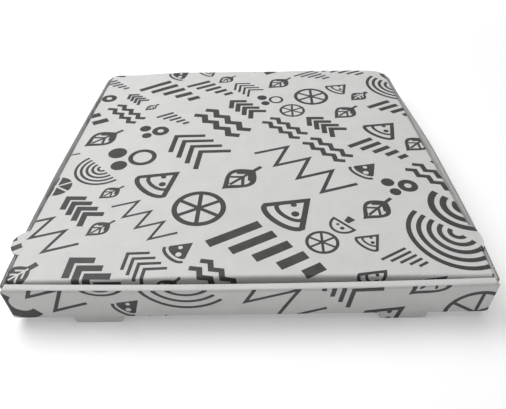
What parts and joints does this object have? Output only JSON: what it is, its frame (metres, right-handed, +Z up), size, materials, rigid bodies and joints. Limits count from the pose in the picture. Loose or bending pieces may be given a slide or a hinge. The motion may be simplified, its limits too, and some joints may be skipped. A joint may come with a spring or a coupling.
{
  "type": "pizza box",
  "caption": "Flat square pizza box folded from fluted board: tray with rolled-over front, feet, and hinged lid whose flaps tuck in behind the walls.",
  "frame": {"origin": "under the middle of the closed box, level with the soles of the two feet", "axes": "+X to the right seen from the front, +Y from the rolled-over front towards the hinged rear wall, +Z up"},
  "size_m": [0.345, 0.33, 0.0373],
  "materials": {
    "tray_board": "matt white-lined fluted board",
    "lid_board": "matt white-lined fluted board with dark grey print"
  },
  "bodies": {
    "tray": {"tray": "tray_board"},
    "lid": {"lid": "lid_board"}
  },
  "joints": [
    {"name": "lid_hinge", "type": "hinge", "parent": "tray", "child": "lid", "pos_m": [0, 0.1642, 0.0365], "axis": [-1, 0, 0], "range_deg": [0, 179]}
  ]
}
